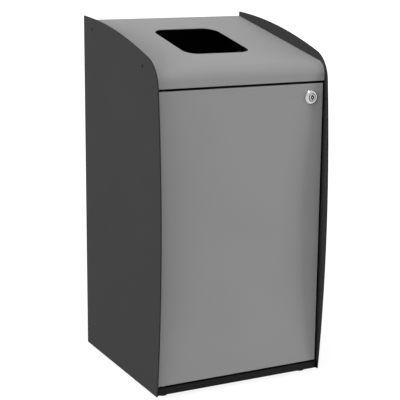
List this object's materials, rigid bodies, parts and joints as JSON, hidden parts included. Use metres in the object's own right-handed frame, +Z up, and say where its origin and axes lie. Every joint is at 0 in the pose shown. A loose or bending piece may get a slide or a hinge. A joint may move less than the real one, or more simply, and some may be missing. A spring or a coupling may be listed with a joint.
{
  "type": "recycling station",
  "caption": "Floor-standing metal waste cabinet with a sloping lid and round-cornered opening, curved side panels, a locking front door, levelling feet and a lift-out inner bin.",
  "frame": {"origin": "on the floor, under the middle of the cabinet's overall width and depth", "axes": "+Z up along the height, the door and the sloping lid's low edge face -Y, +X to the right of someone facing the door"},
  "size_m": [0.4, 0.406, 0.78],
  "materials": {
    "side_paint": "fine-textured powder coat, charcoal",
    "base_paint": "matt black powder coat",
    "front_paint": "fine-textured powder coat, mid grey",
    "screw_black": "black oxide, satin",
    "zinc": "zinc-plated, dull",
    "lock_nickel": "bright nickel plate",
    "bush_nylon": "black nylon",
    "buffer_rubber": "matt black rubber",
    "foot_plastic": "black moulded plastic",
    "bin_plastic": "black moulded polyethylene"
  },
  "bodies": {
    "cabinet": {"side_panel_left": "side_paint", "side_panel_right": "side_paint", "back_panel": "side_paint", "base_pan": "base_paint", "front_rail": "side_paint", "lid": "front_paint", "lid_screws_left": "screw_black", "lid_screws_right": "screw_black", "lid_clinch_nuts": "zinc", "weld_studs": "zinc", "carcass_nuts": "zinc", "hinge_pin_lower": "screw_black", "hinge_pin_upper": "screw_black", "door_buffers": "buffer_rubber", "foot_weld_nuts": "zinc", "bin_guide_left": "zinc", "bin_guide_right": "zinc", "bin_stop_rear": "zinc", "guide_rivets": "zinc"},
    "door": {"door_panel": "front_paint", "door_stiffener": "zinc", "hinge_bush_lower": "bush_nylon", "hinge_bush_upper": "bush_nylon", "lock_housing": "lock_nickel", "lock_nut": "zinc"},
    "lock": {"lock_plug": "lock_nickel", "lock_cam": "zinc", "cam_washer": "zinc", "cam_screw": "zinc"},
    "bin": {"inner_bin": "bin_plastic"},
    "foot_front_left": {"foot_pad_front_left": "foot_plastic", "foot_stud_front_left": "zinc"},
    "foot_front_right": {"foot_pad_front_right": "foot_plastic", "foot_stud_front_right": "zinc"},
    "foot_rear_left": {"foot_pad_rear_left": "foot_plastic", "foot_stud_rear_left": "zinc"},
    "foot_rear_right": {"foot_pad_rear_right": "foot_plastic", "foot_stud_rear_right": "zinc"}
  },
  "joints": [
    {"name": "door_hinge", "type": "hinge", "parent": "cabinet", "child": "door", "pos_m": [-0.182, -0.172, 0.34], "axis": [0, 0, -1], "range_deg": [0, 95]},
    {"name": "lock_turn", "type": "hinge", "parent": "door", "child": "lock", "pos_m": [0.1653, -0.179, 0.62406], "axis": [0, 1, 0], "range_deg": [0, 90]},
    {"name": "bin_lift", "type": "slide", "parent": "cabinet", "child": "bin", "axis": [0, 0, 1], "range_m": [0, 0.085]},
    {"name": "foot_front_left_level", "type": "slide", "parent": "cabinet", "child": "foot_front_left", "axis": [0, 0, -1], "range_m": [0, 0.008]},
    {"name": "foot_front_right_level", "type": "slide", "parent": "cabinet", "child": "foot_front_right", "axis": [0, 0, -1], "range_m": [0, 0.008]},
    {"name": "foot_rear_left_level", "type": "slide", "parent": "cabinet", "child": "foot_rear_left", "axis": [0, 0, -1], "range_m": [0, 0.008]},
    {"name": "foot_rear_right_level", "type": "slide", "parent": "cabinet", "child": "foot_rear_right", "axis": [0, 0, -1], "range_m": [0, 0.008]}
  ]
}
